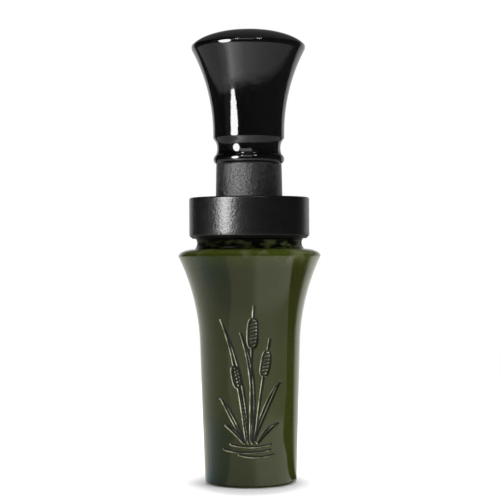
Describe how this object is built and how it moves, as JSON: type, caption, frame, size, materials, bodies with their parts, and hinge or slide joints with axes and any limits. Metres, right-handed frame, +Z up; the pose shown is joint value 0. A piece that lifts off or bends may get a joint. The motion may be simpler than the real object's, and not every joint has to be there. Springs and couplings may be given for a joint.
{
  "type": "duck call",
  "caption": "Hand-held double-reed duck call: flared barrel with banded mouth socket, and a pull-out tone-board insert with a flared bell.",
  "frame": {"origin": "centre of the mouthpiece's end face, on which the call stands", "axes": "+Z up along the call's axis towards the bell's mouth; +Y from the tone board's flat towards the reeds; +X across the reeds"},
  "size_m": [0.0381, 0.0382, 0.1206],
  "materials": {
    "olive_acrylic": "polished translucent olive-green acrylic with a shallow engraving",
    "black_band": "satin black, turned",
    "black_core": "matte black with a fine grain",
    "black_gloss": "polished black acrylic",
    "reed_film": "frosted translucent polyester film",
    "cork": "natural cork",
    "o_ring_rubber": "satin black rubber"
  },
  "bodies": {
    "barrel": {"barrel": "olive_acrylic", "barrel_band": "black_band"},
    "seal": {"upper_o_ring": "o_ring_rubber", "lower_o_ring": "o_ring_rubber"},
    "insert": {"tone_board": "black_core", "bell": "black_gloss", "wedge": "cork"},
    "main_reed": {"main_reed": "reed_film"},
    "top_reed": {"top_reed": "reed_film"}
  },
  "joints": [
    {"name": "insert_pull", "type": "slide", "parent": "barrel", "child": "seal", "axis": [0, 0, 1], "range_m": [0, 0.064]},
    {"name": "insert_twist", "type": "hinge", "parent": "seal", "child": "insert", "pos_m": [0, 0, 0.07], "axis": [0, 0, 1], "continuous": true},
    {"name": "main_reed_flex", "type": "hinge", "parent": "insert", "child": "main_reed", "pos_m": [0, 0.0012, 0.058], "axis": [-1, 0, 0], "range_deg": [-1, 2], "stiffness_Nm_per_rad": 0.004, "deforming": ["main_reed"]},
    {"name": "top_reed_flex", "type": "hinge", "parent": "insert", "child": "top_reed", "pos_m": [0, 0.0012, 0.058], "axis": [-1, 0, 0], "range_deg": [-1, 2], "stiffness_Nm_per_rad": 0.004, "deforming": ["top_reed"]}
  ],
  "couplings": [
    {"joint": "top_reed_flex", "follows": "main_reed_flex", "ratio": 1}
  ]
}
